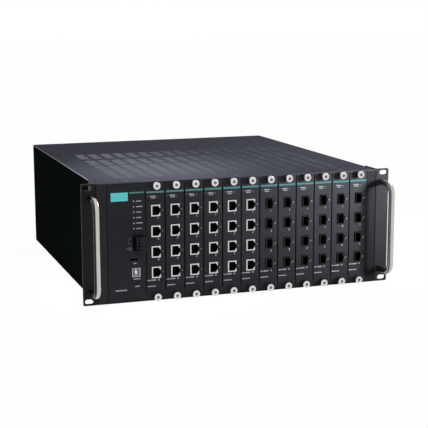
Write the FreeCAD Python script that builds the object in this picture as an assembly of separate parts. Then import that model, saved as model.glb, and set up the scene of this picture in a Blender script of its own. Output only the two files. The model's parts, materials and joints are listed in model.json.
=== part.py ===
import FreeCAD, Part
import os

from FreeCAD import Vector

# A 4U rack-mount network switch with twelve plug-in interface modules.
# Millimetres. X runs to the right, Y to the rear and Z up.
# The origin is the centre of the four rack slots, on the back face of the ears.

# ---------------------------------------------------------------- rack interface
rack_unit = 44.45
rack_units = 4
rack_gap = 0.8
rack_panel_width = 482.6
slot_edge_x = 8.75
slot_edge_z = 6.35
slot_length = 13.0
slot_width = 7.0
ear_width = 21.3
ear_thickness = 3.0
ear_leg_thickness = 2.0
ear_leg_depth = 36.0
ear_corner_radius = 2.0
ear_bend_radius = 2.0

# ---------------------------------------------------------------- handles
handle_diameter = 9.5
handle_slot_gap = 14.55
handle_reach = 42.0
handle_edge_x = 13.0
handle_bend_radius = 15.0
handle_screw_radius = 2.0
handle_screw_head_radius = 3.5
handle_screw_head_height = 2.4
handle_screw_engagement = 8.0

# ---------------------------------------------------------------- case
body_drop = 1.0
body_depth = 500.0
tray_sheet = 1.5
cover_sheet = 1.2
strip_width = 15.0
tray_top_flange = 11.0
tray_rear_flange = 14.0
seat_gap = 0.2

# ---------------------------------------------------------------- cover vents
vent_columns = 17
vent_column_pitch = 21.6
vent_width = 15.8
vent_slot = 3.9
vent_slot_pitch = 8.2
front_vent_start = 45.0
middle_vent_setback = 15.5
vent_group_pitch = 77.0
short_vent_slots = 7

# ---------------------------------------------------------------- front panels
module_count = 12
copper_count = 6
system_width = 57.8
panel_sheet = 1.5
panel_gap = 1.6
panel_end_gap = 0.4
panel_return = 8.0
panel_edge_radius = 0.5

# ---------------------------------------------------------------- card cage
cage_sheet = 1.5
cage_flange = 12.0
cage_depth = 178.0
cage_shelf = 28.0
cage_rear_shelf = 14.0
cage_tab_width = 16.0
guide_height = 3.5
guide_thickness = 1.2
guide_start = 14.0
guide_margin = 12.0
guide_gap = 0.3
airway_width = 9.0
airway_margin = 20.0
nut_radius = 3.0
nut_length = 3.0

# ---------------------------------------------------------------- captive screws
captive_high_inset = 3.9
captive_low_inset = 4.6
ferrule_radius = 5.0
ferrule_length = 7.4
ferrule_lip = 1.2
captive_head_radius = 5.5
captive_head_height = 2.6
captive_neck_radius = 1.8
captive_shoulder_radius = 2.5
captive_shoulder_length = 2.0
captive_travel = 4.2
captive_recess_width = 4.6
captive_recess_slot = 1.1
captive_recess_depth = 1.6
knurl_count = 18
knurl_depth = 0.45
screw_radius = 1.45
thread_gap = 0.06
turn_gap = 0.15

# ---------------------------------------------------------------- module boards
board_thickness = 1.6
board_offset = 6.4
board_rear_gap = 13.5
board_edge_gap = 0.5
port_count = 4
port_pitch = 30.5
port_drop = 0.5
port_cut_gap = 0.25
port_proud = 0.8
jack_width = 13.6
jack_height = 16.8
jack_depth = 18.0
jack_wall = 2.4
socket_width = 7.8
socket_height = 12.4
socket_depth = 14.5
latch_width = 2.8
latch_height = 4.2
cage_port_lift = 2.2
cage_port_width = 10.4
cage_port_height = 15.5
cage_port_depth = 46.0
cage_port_wall = 0.8
cage_port_proud = 1.8
cage_cut_left = 0.9
cage_cut_end = 0.75
latch_bump_radius = 4.0
latch_bump_setback = 0.6
latch_bump_height = 7.0
latch_tab_height = 4.5
latch_tab_reach = 2.2
latch_tab_lean = 1.2
latch_tab_sheet = 0.6
light_inset = 4.15
light_radius = 0.9
board_part_height = 3.0
transformer_size = 11.0

# ---------------------------------------------------------------- backplane
backplane_thickness = 3.0
plug_width = 8.0
plug_height = 92.0
plug_reach = 11.0
plug_overlap = 12.0
header_depth = 10.0
header_wall = 1.2
header_floor = 1.8
header_gap = 0.35

# ---------------------------------------------------------------- system panel
system_board_offset = 16.0
system_board_margin = 2.0
stud_radius = 2.6
stud_inset_x = 9.0
stud_inset_z = 6.0
status_count = 6
status_pitch = 8.0
status_inset_x = 17.8
status_drop = 33.7
status_radius = 1.1
relay_inset_x = 11.7
relay_drop = 0.65
relay_ways = 4
relay_way_pitch = 5.08
relay_neck_width = 13.0
relay_body_width = 15.8
relay_plug_reach = 16.0
relay_plug_depth = 6.0
relay_gap = 0.35
relay_wall = 0.9
relay_pin_radius = 0.5
relay_pin_gap = 0.15
relay_pin_length = 5.0
relay_wire_hole = 3.0
relay_wire_depth = 6.0
relay_screw_radius = 1.5
relay_screw_depth = 1.4
storage_inset_x = 18.4
storage_lift = 49.8
storage_width = 13.1
storage_height = 5.7
console_inset_x = 15.3
console_lift = 29.9
console_width = 12.0
console_height = 12.6
connector_wall = 0.5
connector_proud = 0.4
connector_depth = 15.0
storage_tongue_gap = 0.6
storage_tongue_lift = 0.2
storage_tongue_height = 1.8
console_tongue_width = 2.6
console_tongue_height = 6.0
reset_inset_x = 13.6
reset_lift = 13.3
reset_hole_radius = 1.2
reset_stem_radius = 0.9
reset_foot_radius = 1.8
reset_foot_length = 2.0
reset_travel = 0.8
reset_depth = 1.2
reset_switch_size = 6.5
reset_switch_depth = 4.0

# ---------------------------------------------------------------- rear
power_width = 110.0
power_height = 70.0
power_depth = 160.0
power_side_gap = 20.0
power_sheet = 1.2
power_gap = 0.4
power_flange = 5.0
power_flange_sheet = 1.5
power_tab_reach = 22.0
power_tab_height = 20.0
power_tab_offset = 40.0
power_tab_hole_radius = 6.5
power_plug_width = 24.0
power_plug_height = 9.0
power_plug_reach = 14.0
power_socket_wall = 1.2
runner_sheet = 1.5
runner_width = 12.0
runner_lip = 12.0
inlet_width = 27.0
inlet_height = 19.5
inlet_depth = 16.0
inlet_flange_width = 50.0
inlet_flange_height = 24.0
inlet_flange_sheet = 2.0
inlet_cavity_width = 24.0
inlet_cavity_height = 16.0
inlet_cavity_depth = 14.0
inlet_chamfer = 4.5
inlet_pin_width = 2.0
inlet_pin_height = 4.0
inlet_pin_length = 11.0
inlet_pin_spacing = 14.0
inlet_offset_x = -12.0
rear_slot_margin = 23.0
rear_slot_pitch = 12.0
rear_slot_width = 4.0
rear_slot_height = 90.0
rear_fold = 22.0
ground_radius = 1.65
ground_boss_radius = 4.0
ground_boss_length = 4.5
ground_gap = 12.0

# ---------------------------------------------------------------- switch board
switch_board_width = 300.0
switch_board_rear_gap = 19.5
switch_board_thickness = 2.0
switch_board_gap = 8.0
switch_board_lift = 24.0
post_radius = 3.0
post_inset = 10.0
chip_size = 45.0
chip_height = 3.0
sink_width = 120.0
sink_margin = 15.0
sink_base = 6.0
sink_fins = 12
sink_fin_thickness = 2.0
sink_fin_height = 42.0

# ---------------------------------------------------------------- flat screws
flat_head_radius = 2.8
flat_head_depth = 1.2
flat_screw_length = 5.0
flat_screw_gap = 0.05
flat_slot_length = 3.4
flat_slot_width = 0.7
flat_slot_depth = 0.7
cover_screw_x = 170.0
cover_screw_inset = 20.0
cage_screw_x = 105.0
cage_screw_inset = 9.0
tab_screw_inset = 6.0
tab_vent_gap = 7.0
ear_screw_inset = 26.5
rear_screw_inset = 28.5
backplane_screw_inset = 8.0

# ---------------------------------------------------------------- derived places
ear_height = rack_unit * rack_units - rack_gap
slot_spacing_x = rack_panel_width - 2 * slot_edge_x
slot_spacing_z = rack_unit * rack_units - 2 * slot_edge_z
handle_spacing_z = slot_spacing_z - 2 * handle_slot_gap
side_x = rack_panel_width / 2 - ear_width
front_y = -ear_thickness
rear_y = front_y + body_depth
base_z = -ear_height / 2
top_z = ear_height / 2 - body_drop
ear_screw_z = ear_height / 2 - ear_screw_inset
rear_screw_z = ear_height / 2 - rear_screw_inset
floor_z = base_z + tray_sheet
ceiling_z = top_z - cover_sheet
panel_back_y = front_y + panel_sheet
panel_low_z = floor_z + panel_end_gap
panel_high_z = ceiling_z - panel_end_gap
port_centre_z = (panel_low_z + panel_high_z) / 2 - port_drop
bay_left_x = -side_x + strip_width
bay_right_x = side_x - strip_width
modules_left_x = bay_left_x + system_width
module_pitch = (bay_right_x - modules_left_x) / module_count
divider_x = modules_left_x - cage_sheet
cage_left_x = bay_left_x - cage_sheet
cage_right_x = bay_right_x + cage_sheet
cage_low_z = floor_z + cage_flange
cage_high_z = ceiling_z - cage_flange
cage_back_y = panel_back_y + cage_depth
front_vent_y = front_y + front_vent_start
front_vent_slots = int((cage_back_y - front_vent_y) / vent_slot_pitch) + 1
middle_vent_y = cage_back_y + middle_vent_setback
rear_vent_y = middle_vent_y + vent_group_pitch
cage_tab_y = rear_vent_y - tab_screw_inset - tab_vent_gap
board_low_z = cage_low_z + board_edge_gap
board_high_z = cage_high_z - board_edge_gap
board_back_y = cage_back_y - board_rear_gap
backplane_y = cage_back_y
backplane_low_z = floor_z + cage_sheet + board_edge_gap
backplane_high_z = ceiling_z - cage_sheet - board_edge_gap
backplane_back_y = backplane_y + backplane_thickness
system_centre_x = (bay_left_x + modules_left_x) / 2
system_board_y = front_y + system_board_offset
status_centre_z = board_high_z - status_drop
relay_centre_z = (board_low_z + board_high_z) / 2 - relay_drop
storage_centre_z = board_low_z + storage_lift
console_centre_z = board_low_z + console_lift
reset_centre_z = board_low_z + reset_lift
relay_height = relay_ways * relay_way_pitch
switch_board_z = floor_z + switch_board_lift
switch_board_y = backplane_back_y + switch_board_gap
power_low_z = floor_z + power_gap + power_flange
power_front_y = rear_y - power_depth
power_offset_x = side_x - power_side_gap - power_width / 2
ground_offset_x = power_offset_x - power_width / 2 - ground_gap
rear_slot_count = int(2 * (ground_offset_x - rear_slot_margin) / rear_slot_pitch) + 1
switch_board_depth = power_front_y - switch_board_rear_gap - switch_board_y
sink_depth = switch_board_depth - 2 * sink_margin
clearance_radius = screw_radius + flat_screw_gap


def box(x0, x1, y0, y1, z0, z1):
    corner = Vector(min(x0, x1), min(y0, y1), min(z0, z1))
    return Part.makeBox(abs(x1 - x0), abs(y1 - y0), abs(z1 - z0), corner)


def rod(start, end, radius):
    along = end - start
    return Part.makeCylinder(radius, along.Length, start, along)


def rod_y(x, z, y0, y1, radius):
    return rod(Vector(x, y0, z), Vector(x, y1, z), radius)


def rod_z(x, y, z0, z1, radius):
    return rod(Vector(x, y, z0), Vector(x, y, z1), radius)


def prism_y(outline, y0, y1):
    points = [Vector(x, y0, z) for x, z in outline]
    face = Part.Face(Part.makePolygon(points + points[:1]))
    return face.extrude(Vector(0, y1 - y0, 0))


def slot_y(x, z, y0, y1, length, width):
    radius = width / 2
    half = length / 2 - radius
    middle = box(x - half, x + half, y0, y1, z - radius, z + radius)
    left = rod_y(x - half, z, y0, y1, radius)
    right = rod_y(x + half, z, y0, y1, radius)
    return middle.fuse([left, right]).removeSplitter()


def fillet_where(shape, radius, wanted):
    edges = [edge for edge in shape.Edges if wanted(edge)]
    return shape.makeFillet(radius, edges)


def runs_along(edge, axis):
    ends = edge.Vertexes
    if len(ends) < 2:
        return False
    span = ends[1].Point - ends[0].Point
    return abs(abs(span.normalize().dot(axis)) - 1) < 1e-6


def near(value, target):
    return abs(value - target) < 1e-3


def flat_screw(head, inward):
    """A countersunk screw whose head is flush at the point head."""
    cone = Part.makeCone(flat_head_radius, screw_radius, flat_head_depth, head, inward)
    shank = Part.makeCylinder(screw_radius, flat_screw_length, head, inward)
    screw = cone.fuse(shank)
    half = flat_slot_length / 2
    across = Part.makeBox(flat_slot_length, flat_slot_width, flat_slot_depth,
                          Vector(-half, -flat_slot_width / 2, 0))
    upright = Part.makeBox(flat_slot_width, flat_slot_length, flat_slot_depth,
                           Vector(-flat_slot_width / 2, -half, 0))
    recess = across.fuse(upright)
    turn = FreeCAD.Rotation(Vector(0, 0, 1), inward)
    recess.Placement = FreeCAD.Placement(head, turn)
    return screw.cut(recess)


def flat_screw_hole(head, inward):
    reach = flat_head_depth + flat_screw_gap
    cone = Part.makeCone(flat_head_radius + flat_screw_gap, clearance_radius, reach, head, inward)
    bore = Part.makeCylinder(clearance_radius, flat_screw_length + 2, head, inward)
    return cone.fuse(bore)


def module_left(index):
    return modules_left_x + index * module_pitch


def port_heights():
    middle = (port_count - 1) / 2
    return [port_centre_z + (middle - row) * port_pitch for row in range(port_count)]


def captive_heights():
    return [panel_high_z - captive_high_inset, panel_low_z + captive_low_inset]


# ================================================================ screw places
def cover_screw_places():
    down = Vector(0, 0, -1)
    places = []
    for x in (-cover_screw_x, 0, cover_screw_x):
        places.append((Vector(x, front_y + cover_screw_inset, top_z), down))
        places.append((Vector(x, rear_y - rear_fold / 2, top_z), down))
    for x in (-cage_screw_x, cage_screw_x):
        places.append((Vector(x, cage_back_y + cage_screw_inset, top_z), down))
        places.append((Vector(x, cage_tab_y, top_z), down))
    return places


def panel_screw_places():
    inward = Vector(0, 1, 0)
    return [(Vector(system_centre_x, front_y, z), inward) for z in captive_heights()]


def ear_screw_places():
    y = ear_leg_depth * 0.6
    outer = side_x + ear_leg_thickness
    places = []
    for z in (-ear_screw_z, 0, ear_screw_z):
        places.append((Vector(-outer, y, z), Vector(1, 0, 0)))
        places.append((Vector(outer, y, z), Vector(-1, 0, 0)))
    return places


def rear_screw_places():
    x = side_x - tray_sheet - tray_rear_flange / 2
    forward = Vector(0, -1, 0)
    places = []
    for z in (-rear_screw_z, 0, rear_screw_z):
        places.append((Vector(-x, rear_y, z), forward))
        places.append((Vector(x, rear_y, z), forward))
    return places


def backplane_screw_places():
    low_z = (floor_z + cage_low_z) / 2
    high_z = (ceiling_z + cage_high_z) / 2
    forward = Vector(0, -1, 0)
    places = []
    for x in (bay_left_x + backplane_screw_inset, module_left(4), module_left(8),
              bay_right_x - backplane_screw_inset):
        places.append((Vector(x, backplane_back_y, low_z), forward))
        places.append((Vector(x, backplane_back_y, high_z), forward))
    return places


def all_screw_places():
    places = cover_screw_places() + panel_screw_places() + ear_screw_places()
    return places + rear_screw_places() + backplane_screw_places()


def cut_screw_holes(shape, places):
    return shape.cut([flat_screw_hole(head, inward) for head, inward in places])


def case_screws():
    return Part.makeCompound([flat_screw(head, inward) for head, inward in all_screw_places()])


# ================================================================ rack ears and handles
def handle_x(side):
    return side * (rack_panel_width / 2 - handle_edge_x)


def handle_leg_heights():
    return [-handle_spacing_z / 2, handle_spacing_z / 2]


def rack_ear(side):
    edge_x = rack_panel_width / 2
    plate = box(side * side_x, side * edge_x, front_y, 0, -ear_height / 2, ear_height / 2)
    leg = box(side * side_x, side * (side_x + ear_leg_thickness), front_y, ear_leg_depth,
              -ear_height / 2, ear_height / 2)
    ear = plate.fuse(leg).removeSplitter()
    upright = Vector(0, 0, 1)
    ear = fillet_where(ear, ear_bend_radius, lambda edge: runs_along(edge, upright)
                       and near(edge.CenterOfMass.x, side * side_x)
                       and near(edge.CenterOfMass.y, front_y))
    ear = fillet_where(ear, ear_corner_radius, lambda edge: runs_along(edge, Vector(0, 1, 0))
                       and near(edge.CenterOfMass.x, side * edge_x))
    cuts = []
    for z in (-slot_spacing_z / 2, slot_spacing_z / 2):
        cuts.append(slot_y(side * slot_spacing_x / 2, z, front_y - 1, 1, slot_length, slot_width))
    for z in handle_leg_heights():
        cuts.append(rod_y(handle_x(side), z, front_y - 1, 1, handle_screw_radius + 0.25))
    ear = ear.cut(cuts)
    own = [place for place in ear_screw_places() if place[0].x * side > 0]
    return cut_screw_holes(ear, own)


def handle_path(side):
    x = handle_x(side)
    low, high = handle_leg_heights()
    grip_y = front_y - handle_reach + handle_diameter / 2
    bend = handle_bend_radius
    dip = bend * (1 - 0.5 ** 0.5)
    low_leg = Part.LineSegment(Vector(x, front_y, low), Vector(x, grip_y + bend, low))
    low_bend = Part.Arc(Vector(x, grip_y + bend, low), Vector(x, grip_y + dip, low + dip),
                        Vector(x, grip_y, low + bend))
    grip = Part.LineSegment(Vector(x, grip_y, low + bend), Vector(x, grip_y, high - bend))
    high_bend = Part.Arc(Vector(x, grip_y, high - bend), Vector(x, grip_y + dip, high - dip),
                         Vector(x, grip_y + bend, high))
    high_leg = Part.LineSegment(Vector(x, grip_y + bend, high), Vector(x, front_y, high))
    runs = [low_leg, low_bend, grip, high_bend, high_leg]
    return Part.Wire([run.toShape() for run in runs])


def handle(side):
    x = handle_x(side)
    low = handle_leg_heights()[0]
    circle = Part.makeCircle(handle_diameter / 2, Vector(x, front_y, low), Vector(0, 1, 0))
    bar = handle_path(side).makePipeShell([Part.Wire(circle)], True, False)
    holes = []
    depth = handle_screw_engagement + 1
    for z in handle_leg_heights():
        holes.append(rod_y(x, z, front_y - depth, front_y, handle_screw_radius + flat_screw_gap))
    return bar.cut(holes)


def handle_screws():
    screws = []
    for side in (-1, 1):
        for z in handle_leg_heights():
            shank = rod_y(handle_x(side), z, front_y - handle_screw_engagement, 0.5,
                          handle_screw_radius)
            head = rod_y(handle_x(side), z, 0, handle_screw_head_height, handle_screw_head_radius)
            screw = head.fuse(shank).removeSplitter()
            screw = screw.makeFillet(0.8, [edge for edge in screw.Edges
                                           if near(edge.BoundBox.YMin, handle_screw_head_height)])
            screws.append(screw)
    return Part.makeCompound(screws)


# ================================================================ case
def board_posts():
    posts = []
    half = switch_board_width / 2 - post_inset
    for x in (-half, 0, half):
        for y in (switch_board_y + post_inset, switch_board_y + switch_board_depth - post_inset):
            posts.append(rod_z(x, y, floor_z - 0.5, switch_board_z, post_radius))
    return posts


def power_runners():
    runners = []
    half = power_width / 2 + power_gap
    y1 = rear_y - tray_sheet - seat_gap
    for middle in (-power_offset_x, power_offset_x):
        for side in (-1, 1):
            edge = middle + side * half
            runners.append(box(edge, edge - side * runner_width, power_front_y, y1,
                               floor_z - 0.5, power_low_z - power_gap))
            runners.append(box(edge, edge + side * runner_sheet, power_front_y, y1,
                               floor_z - 0.5, power_low_z + runner_lip))
    return runners


def chassis_tray():
    outer = box(-side_x, side_x, front_y, rear_y, base_z, ceiling_z)
    inner_x = side_x - tray_sheet
    room = box(-inner_x, inner_x, front_y - 1, rear_y + 1, floor_z, ceiling_z + 1)
    tray = outer.cut(room)
    pieces = []
    for side in (-1, 1):
        lip_x = side_x - tray_top_flange
        pieces.append(box(side * lip_x, side * side_x, front_y, rear_y,
                          ceiling_z - tray_sheet, ceiling_z))
        pieces.append(box(side * bay_right_x, side * side_x, front_y, front_y + tray_sheet,
                          floor_z, ceiling_z))
        inner = side_x - tray_sheet - tray_rear_flange
        pieces.append(box(side * inner, side * side_x, rear_y - 2 * tray_sheet - seat_gap,
                          rear_y - tray_sheet - seat_gap, floor_z,
                          ceiling_z - tray_sheet - seat_gap))
    tray = tray.fuse(pieces + board_posts() + power_runners()).removeSplitter()
    upright = Vector(0, 0, 1)
    tray = fillet_where(tray, ear_bend_radius, lambda edge: runs_along(edge, upright)
                        and near(abs(edge.CenterOfMass.x), side_x)
                        and near(edge.CenterOfMass.y, front_y))
    return cut_screw_holes(tray, ear_screw_places() + rear_screw_places())


def vent_row(start, slots):
    cuts = []
    left = -(vent_columns - 1) * vent_column_pitch / 2 - vent_width / 2
    for column in range(vent_columns):
        x = left + column * vent_column_pitch
        for row in range(slots):
            y = start + row * vent_slot_pitch
            cuts.append(box(x, x + vent_width, y, y + vent_slot, ceiling_z - 1, top_z + 1))
    return cuts


def top_cover():
    plate = box(-side_x, side_x, front_y, rear_y, ceiling_z, top_z)
    cuts = vent_row(front_vent_y, front_vent_slots)
    cuts += vent_row(middle_vent_y, short_vent_slots)
    cuts += vent_row(rear_vent_y, short_vent_slots)
    plate = plate.cut(Part.makeCompound(cuts))
    return cut_screw_holes(plate, cover_screw_places())


def rear_panel():
    half = side_x - tray_sheet - seat_gap
    inner_y = rear_y - tray_sheet
    low = floor_z + seat_gap
    plate = box(-half, half, inner_y, rear_y, low, ceiling_z)
    fold_half = side_x - tray_top_flange - seat_gap
    fold = box(-fold_half, fold_half, rear_y - rear_fold, rear_y, ceiling_z - tray_sheet, ceiling_z)
    corners = [box(side * fold_half, side * side_x, inner_y - 1, rear_y + 1,
                   ceiling_z - tray_sheet - seat_gap, ceiling_z + 1) for side in (-1, 1)]
    boss = rod_y(ground_offset_x, power_centre_z(), inner_y - ground_boss_length, inner_y,
                 ground_boss_radius)
    panel = plate.cut(corners).fuse([fold, boss]).removeSplitter()
    cuts = [rod_y(ground_offset_x, power_centre_z(), inner_y - ground_boss_length - 1, rear_y + 1,
                  ground_radius)]
    for side in (-1, 1):
        half_bay = power_width / 2 + power_gap
        middle = side * power_offset_x
        cuts.append(box(middle - half_bay, middle + half_bay, inner_y - 1, rear_y + 1,
                        power_low_z - power_gap, power_low_z + power_height + power_gap))
    first = -(rear_slot_count - 1) * rear_slot_pitch / 2
    for index in range(rear_slot_count):
        x = first + index * rear_slot_pitch
        cuts.append(box(x - rear_slot_width / 2, x + rear_slot_width / 2, inner_y - 1, rear_y + 1,
                        -rear_slot_height / 2, rear_slot_height / 2))
    panel = panel.cut(cuts)
    return cut_screw_holes(panel, rear_screw_places() + cover_screw_places())


# ================================================================ card cage
def hat_section(plate_z, wall_z, upward):
    """A folded strip: plate at plate_z, risers to wall_z, and shelves along wall_z."""
    sheet = cage_sheet * upward
    left = cage_left_x
    right = cage_right_x
    parts = [box(left, right, panel_back_y, cage_back_y, plate_z, plate_z + sheet)]
    for y in (panel_back_y, cage_back_y - cage_sheet):
        parts.append(box(left, right, y, y + cage_sheet, plate_z, wall_z))
    parts.append(box(left, right, panel_back_y, panel_back_y + cage_shelf, wall_z, wall_z - sheet))
    parts.append(box(left, right, cage_back_y - cage_sheet, cage_back_y + cage_rear_shelf,
                     wall_z, wall_z - sheet))
    return parts


def cover_tabs():
    back = cage_tab_y + tab_screw_inset
    half = cage_tab_width / 2
    return [box(x - half, x + half, cage_back_y, back, ceiling_z - cage_sheet, ceiling_z)
            for x in (-cage_screw_x, cage_screw_x)]


def card_guides():
    guides = []
    y0 = panel_back_y + guide_start
    y1 = cage_back_y - guide_margin
    for index in range(module_count):
        board_x = module_left(index) + board_offset
        for x in (board_x - guide_gap - guide_thickness, board_x + board_thickness + guide_gap):
            guides.append(box(x, x + guide_thickness, y0, y1, cage_low_z - 0.5,
                              cage_low_z + guide_height))
            guides.append(box(x, x + guide_thickness, y0, y1, cage_high_z - guide_height,
                              cage_high_z + 0.5))
    return guides


def airways():
    cuts = []
    for index in range(module_count):
        x = module_left(index) + board_offset + board_thickness + guide_gap + guide_thickness + 1.5
        cuts.append(box(x, x + airway_width, panel_back_y + airway_margin + cage_sheet,
                        cage_back_y - airway_margin, cage_low_z - 2 * cage_sheet,
                        cage_high_z + 2 * cage_sheet))
    return cuts


def module_centre(index):
    return module_left(index) + module_pitch / 2


def card_cage():
    pieces = hat_section(cage_low_z, floor_z, -1)
    pieces += hat_section(cage_high_z, ceiling_z, 1)
    for x in (divider_x, bay_right_x):
        pieces.append(box(x, x + cage_sheet, panel_back_y, cage_back_y, cage_low_z, cage_high_z))
    pieces += card_guides()
    pieces += cover_tabs()
    bores = []
    nut_end_y = panel_back_y + cage_sheet + nut_length
    centres = [module_centre(index) for index in range(module_count)]
    for x in centres + [system_centre_x]:
        for z in captive_heights():
            pieces.append(rod_y(x, z, panel_back_y, nut_end_y, nut_radius))
            bores.append(rod_y(x, z, panel_back_y - 1, nut_end_y + 1, screw_radius + thread_gap))
    cage = pieces[0].fuse(pieces[1:]).removeSplitter()
    cage = cage.cut(bores + airways())
    return cut_screw_holes(cage, cover_screw_places() + backplane_screw_places())


# ================================================================ interface modules
def ferrule(x, z):
    body = rod_y(x, z, front_y - ferrule_length, front_y, ferrule_radius)
    grooves = []
    for index in range(knurl_count):
        turn = FreeCAD.Rotation(Vector(0, 1, 0), 360.0 * index / knurl_count)
        out = turn.multVec(Vector(ferrule_radius + 0.25, 0, 0))
        grooves.append(rod_y(x + out.x, z + out.z, front_y - ferrule_length - 1, front_y - 1.0,
                             knurl_depth))
    return body.cut(grooves)


def ferrule_bore(x, z):
    bore_radius = captive_shoulder_radius + turn_gap
    lip_y = front_y - ferrule_length + ferrule_lip
    bore = rod_y(x, z, lip_y, panel_back_y + 1, bore_radius)
    mouth = rod_y(x, z, front_y - ferrule_length - 1, lip_y + 0.1, captive_neck_radius + turn_gap)
    return bore.fuse(mouth)


def panel_blank(x0, x1):
    blank = box(x0, x1, front_y, panel_back_y, panel_low_z, panel_high_z)
    return fillet_where(blank, panel_edge_radius,
                        lambda edge: near(edge.CenterOfMass.y, front_y))


def light_x(index):
    return module_left(index + 1) - light_inset


def jack_left(index):
    return module_left(index) + board_offset + board_thickness


def cage_port_left(index):
    return jack_left(index) + cage_port_lift


def copper_cut(index, z):
    x = jack_left(index) - port_cut_gap
    return box(x, x + jack_width + 2 * port_cut_gap, front_y - 1, panel_back_y + 1,
               z - jack_height / 2 - port_cut_gap, z + jack_height / 2 + port_cut_gap)


def fibre_cut(index, z):
    x0 = cage_port_left(index) - cage_cut_left
    x1 = cage_port_left(index) + cage_port_width + port_cut_gap
    half = cage_port_height / 2 + cage_cut_end
    window = box(x0, x1, front_y - 1, panel_back_y + 1, z - half, z + half)
    return window.fuse(latch_bump(x1 - latch_bump_setback, z)).removeSplitter()


def latch_bump(x, z):
    disc = rod_y(x, z, front_y - 1, panel_back_y + 1, latch_bump_radius)
    keep = box(x, x + latch_bump_radius, front_y - 1, panel_back_y + 1,
               z - latch_bump_height / 2, z + latch_bump_height / 2)
    return disc.common(keep)


def faceplate(index):
    x0 = module_left(index) + panel_gap / 2
    x1 = module_left(index + 1) - panel_gap / 2
    plate = panel_blank(x0, x1)
    low = cage_low_z + board_edge_gap
    high = cage_high_z - board_edge_gap
    returns = [box(x, x + panel_sheet, panel_back_y - 0.5, panel_back_y + panel_return, low, high)
               for x in (x0, x1 - panel_sheet)]
    ferrules = [ferrule(module_centre(index), z) for z in captive_heights()]
    plate = plate.fuse(returns + ferrules).removeSplitter()
    cuts = [ferrule_bore(module_centre(index), z) for z in captive_heights()]
    for z in port_heights():
        cuts.append(copper_cut(index, z) if index < copper_count else fibre_cut(index, z))
        cuts.append(rod_y(light_x(index), z, front_y - 1, panel_back_y + 1,
                          light_radius + port_cut_gap / 2))
    return plate.cut(cuts)


def captive_screw(x, z):
    head_y = front_y - ferrule_length - turn_gap
    head = rod_y(x, z, head_y - captive_head_height, head_y, captive_head_radius)
    rim = [edge for edge in head.Edges if near(edge.BoundBox.YMax, head_y - captive_head_height)]
    head = head.makeFillet(0.9, rim)
    face_y = head_y - captive_head_height
    half = captive_recess_width / 2
    slot = captive_recess_slot / 2
    across = box(x - half, x + half, face_y - 1, face_y + captive_recess_depth, z - slot, z + slot)
    upright = box(x - slot, x + slot, face_y - 1, face_y + captive_recess_depth, z - half, z + half)
    dish = Part.makeCone(half, slot, captive_recess_depth, Vector(x, face_y, z), Vector(0, 1, 0))
    head = head.cut([across, upright, dish])
    lip_y = front_y - ferrule_length + ferrule_lip
    shoulder_y = lip_y + captive_travel + turn_gap
    neck = rod_y(x, z, head_y - 0.5, shoulder_y + 0.5, captive_neck_radius)
    shoulder = rod_y(x, z, shoulder_y, shoulder_y + captive_shoulder_length,
                     captive_shoulder_radius)
    tip_y = panel_back_y + captive_travel - turn_gap
    thread = rod_y(x, z, shoulder_y, tip_y, screw_radius)
    return head.fuse([neck, shoulder, thread]).removeSplitter()


def module_screws(index):
    return Part.makeCompound([captive_screw(module_centre(index), z) for z in captive_heights()])


def socket_outline(x, z):
    half = socket_height / 2
    tip = latch_height / 2
    right = x + socket_width
    return [(x, z - half), (right, z - half), (right + latch_width, z - tip),
            (right + latch_width, z + tip), (right, z + half), (x, z + half)]


def copper_jack(index, z):
    x = jack_left(index)
    face_y = front_y - port_proud
    shell = box(x, x + jack_width, face_y, face_y + jack_depth, z - jack_height / 2,
                z + jack_height / 2)
    cavity = prism_y(socket_outline(x + jack_wall, z), face_y - 1, face_y + socket_depth)
    return shell.cut(cavity)


def fibre_cage(index, z):
    x = cage_port_left(index)
    face_y = front_y - cage_port_proud
    shell = box(x, x + cage_port_width, face_y, face_y + cage_port_depth,
                z - cage_port_height / 2, z + cage_port_height / 2)
    wall = cage_port_wall
    cavity = box(x + wall, x + cage_port_width - wall, face_y - 1,
                 face_y + cage_port_depth - wall, z - cage_port_height / 2 + wall,
                 z + cage_port_height / 2 - wall)
    foot = box(x - cage_port_lift, x + 0.1, panel_back_y + panel_return + 1,
               face_y + cage_port_depth, z - cage_port_height / 4, z + cage_port_height / 4)
    return shell.cut(cavity).fuse([foot, latch_tab(x + cage_port_width, face_y, z)])


def latch_tab(x, face_y, z):
    low = z - latch_tab_height / 2
    root_x = x - latch_tab_sheet
    outline = [(root_x, face_y + 0.5), (x, face_y + 0.5),
               (x + latch_tab_lean, face_y - latch_tab_reach),
               (root_x + latch_tab_lean, face_y - latch_tab_reach)]
    points = [Vector(point_x, point_y, low) for point_x, point_y in outline]
    face = Part.Face(Part.makePolygon(points + points[:1]))
    return face.extrude(Vector(0, 0, latch_tab_height))


def port_light(index, z):
    x = light_x(index)
    pipe = rod_y(x, z, front_y - 0.2, panel_back_y + panel_return + 3, light_radius)
    arm_x = jack_left(index) - 0.1
    arm = box(arm_x, x + light_radius, panel_back_y + panel_return + 1.5,
              panel_back_y + panel_return + 3, z + jack_height / 2 + 0.5, z + jack_height / 2 + 2)
    drop = box(x - light_radius, x + light_radius, panel_back_y + panel_return + 1.5,
               panel_back_y + panel_return + 3, z, z + jack_height / 2 + 2)
    return pipe.fuse([arm, drop])


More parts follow.
